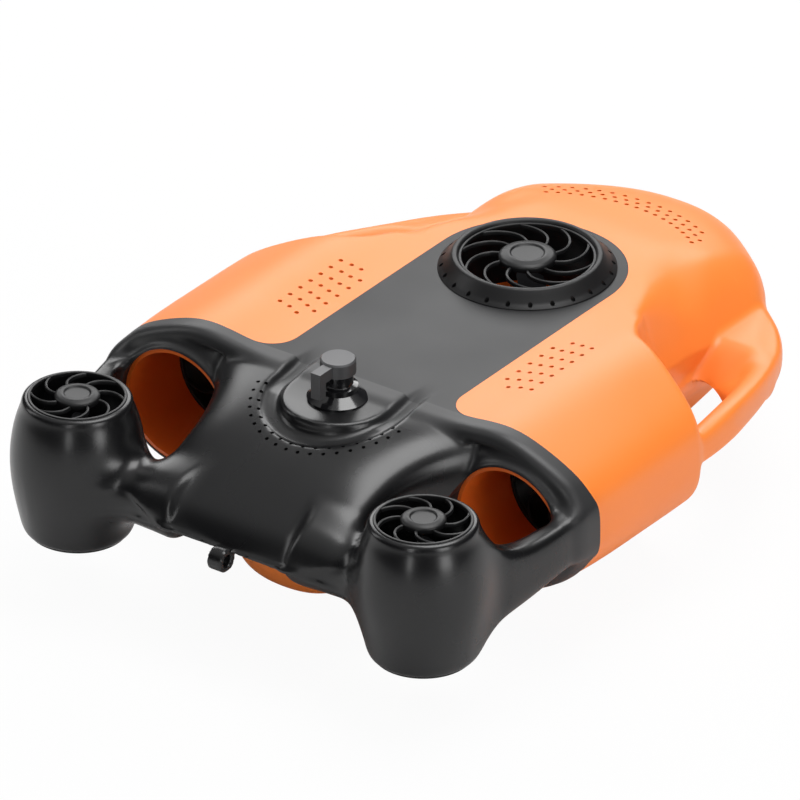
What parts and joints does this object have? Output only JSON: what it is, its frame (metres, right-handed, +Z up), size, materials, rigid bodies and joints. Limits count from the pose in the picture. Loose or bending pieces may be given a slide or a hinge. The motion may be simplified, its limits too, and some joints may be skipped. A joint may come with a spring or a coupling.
{
  "type": "underwater inspection rov",
  "caption": "Underwater inspection vehicle with an orange hull, black tail thrusters, guarded ducts, grab handles, nose camera and lamps.",
  "frame": {"origin": "on the ground under the middle of the vehicle's length and width, at the underside of the skids", "axes": "+X to starboard, +Y to the nose, +Z up"},
  "size_m": [0.3452, 0.4301, 0.134],
  "materials": {
    "orange_shell": "satin moulded shell",
    "deck_black": "fine matte texture",
    "gloss_black": "satin gloss",
    "guard_black": "satin",
    "motor_black": "anodised",
    "propeller_black": "glass-filled plastic",
    "clear_window": "clear",
    "case_grey": "moulded",
    "battery_wrap": "shrink wrap",
    "board_green": "coated circuit board",
    "cap_black": "satin with a light grey top",
    "skid_rubber": "matte",
    "lamp_metal": "bead blasted"
  },
  "bodies": {
    "hull": {"accessory_plate": "deck_black", "battery_pack": "battery_wrap", "camera_bezel": "gloss_black", "camera_body": "motor_black", "camera_dome": "clear_window", "case_lid": "case_grey", "case_tray": "case_grey", "controller_board": "board_green", "deck_panel": "deck_black", "duct_guard_front_left": "guard_black", "duct_guard_front_right": "guard_black", "duct_guard_rear_left": "guard_black", "duct_guard_rear_right": "guard_black", "duct_liner_left": "orange_shell", "duct_liner_right": "orange_shell", "duct_motor_left": "motor_black", "duct_motor_right": "motor_black", "handle_left": "orange_shell", "handle_right": "orange_shell", "lamp_body_left": "lamp_metal", "lamp_body_right": "lamp_metal", "lamp_lens_left": "clear_window", "lamp_lens_right": "clear_window", "lower_shell": "orange_shell", "main_guard_bottom": "guard_black", "main_guard_top": "guard_black", "main_liner": "orange_shell", "main_motor": "motor_black", "skid_left": "skid_rubber", "skid_right": "skid_rubber", "tail_barrel_left": "gloss_black", "tail_barrel_right": "gloss_black", "tail_cover": "gloss_black", "tail_guard_bottom_left": "guard_black", "tail_guard_bottom_right": "guard_black", "tail_guard_top_left": "guard_black", "tail_guard_top_right": "guard_black", "tail_motor_left": "motor_black", "tail_motor_right": "motor_black", "tether_socket": "gloss_black", "upper_shell": "orange_shell"},
    "duct_propeller_left": {"duct_propeller_left": "propeller_black"},
    "duct_propeller_right": {"duct_propeller_right": "propeller_black"},
    "main_propeller": {"main_propeller": "propeller_black"},
    "tail_propeller_left": {"tail_propeller_left": "propeller_black"},
    "tail_propeller_right": {"tail_propeller_right": "propeller_black"},
    "socket_cap": {"socket_cap": "cap_black"}
  },
  "joints": [
    {"name": "duct_propeller_left_spin", "type": "hinge", "parent": "hull", "child": "duct_propeller_left", "pos_m": [-0.107, -0.036, 0.068], "axis": [0, 1, 0], "continuous": true},
    {"name": "duct_propeller_right_spin", "type": "hinge", "parent": "hull", "child": "duct_propeller_right", "pos_m": [0.107, -0.036, 0.068], "axis": [0, 1, 0], "continuous": true},
    {"name": "main_propeller_spin", "type": "hinge", "parent": "hull", "child": "main_propeller", "pos_m": [0, 0.0674, 0.09], "axis": [0, 0, 1], "continuous": true},
    {"name": "tail_propeller_left_spin", "type": "hinge", "parent": "hull", "child": "tail_propeller_left", "pos_m": [-0.111, -0.1796, 0.085], "axis": [0, 0, 1], "continuous": true},
    {"name": "tail_propeller_right_spin", "type": "hinge", "parent": "hull", "child": "tail_propeller_right", "pos_m": [0.111, -0.1796, 0.085], "axis": [0, 0, 1], "continuous": true},
    {"name": "socket_cap_turn", "type": "hinge", "parent": "hull", "child": "socket_cap", "pos_m": [0, -0.1016, 0.13], "axis": [0, 0, 1], "range_deg": [0, 90]}
  ]
}
